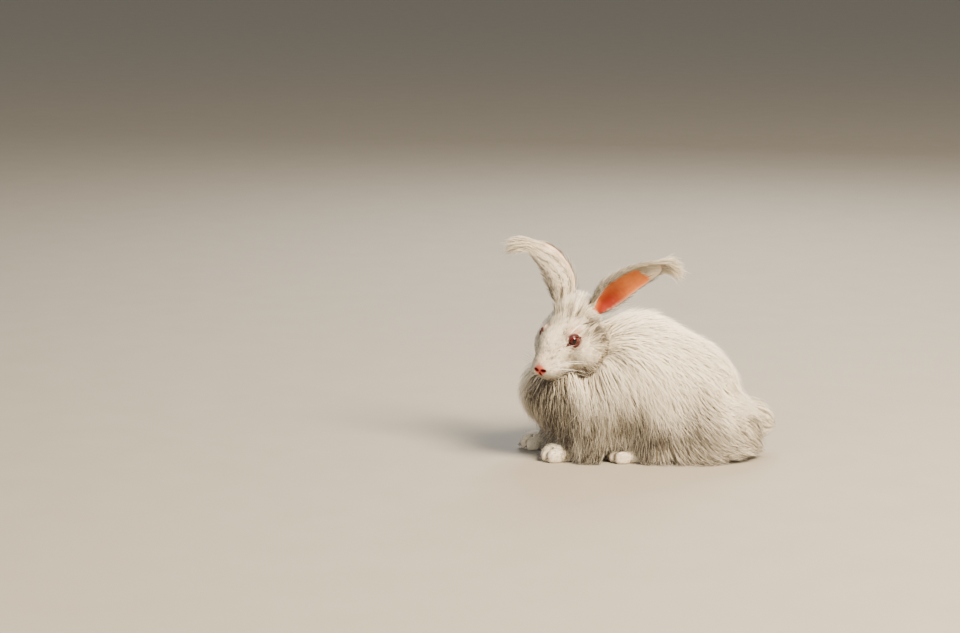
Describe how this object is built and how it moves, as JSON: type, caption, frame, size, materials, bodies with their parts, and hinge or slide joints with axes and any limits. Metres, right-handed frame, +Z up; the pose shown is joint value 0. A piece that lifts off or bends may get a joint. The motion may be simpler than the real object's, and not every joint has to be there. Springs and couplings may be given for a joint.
{
  "type": "angora rabbit",
  "caption": "Life-size angora rabbit in long white wool, crouching with its head turned to its left and its tufted ears raised.",
  "frame": {"origin": "centre of the outline in plan, on the floor under the rabbit", "axes": "+X from chest to tail, +Y to the rabbit's right side, +Z up"},
  "size_m": [0.3562, 0.1746, 0.2993],
  "materials": {
    "wool": "soft long wool",
    "fur": "short soft fur",
    "ear_skin": "thin skin with down",
    "eye": "wet gloss"
  },
  "bodies": {
    "root": {"head": "fur", "eye_left": "eye", "eye_right": "eye", "ear_left": "ear_skin", "ear_right": "ear_skin", "neck": "wool", "torso": "wool", "tail": "wool", "foreleg_left": "fur", "foreleg_right": "fur", "hindleg_left": "fur", "hindleg_right": "fur"}
  },
  "joints": []
}
